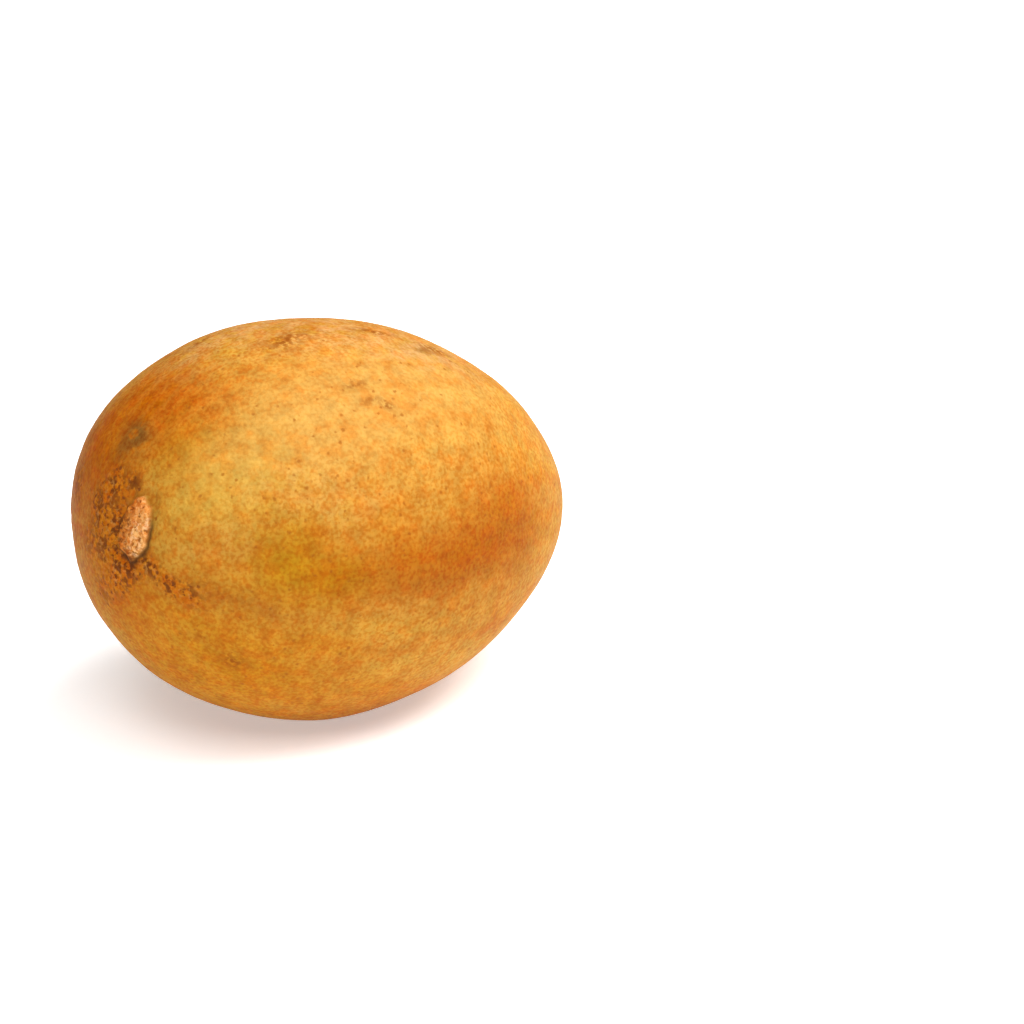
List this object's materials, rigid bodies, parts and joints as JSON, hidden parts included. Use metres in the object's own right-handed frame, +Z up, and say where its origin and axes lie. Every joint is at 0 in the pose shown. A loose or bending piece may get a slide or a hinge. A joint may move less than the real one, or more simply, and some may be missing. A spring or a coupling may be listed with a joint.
{
  "type": "sapodilla fruit",
  "caption": "Whole ripe oval fruit with brown-gold scurfy skin, a dry stem scar at one end and a small point at the other, lying on its side.",
  "frame": {"origin": "on the surface the fruit rests on, under the middle of its box", "axes": "+X along the fruit from its stem end to its far end, +Z up"},
  "size_m": [0.081, 0.06, 0.0601],
  "materials": {
    "skin": "thin dry fruit skin, semi-matt, ochre with brown scurf"
  },
  "bodies": {
    "root": {"fruit": "skin"}
  },
  "joints": []
}
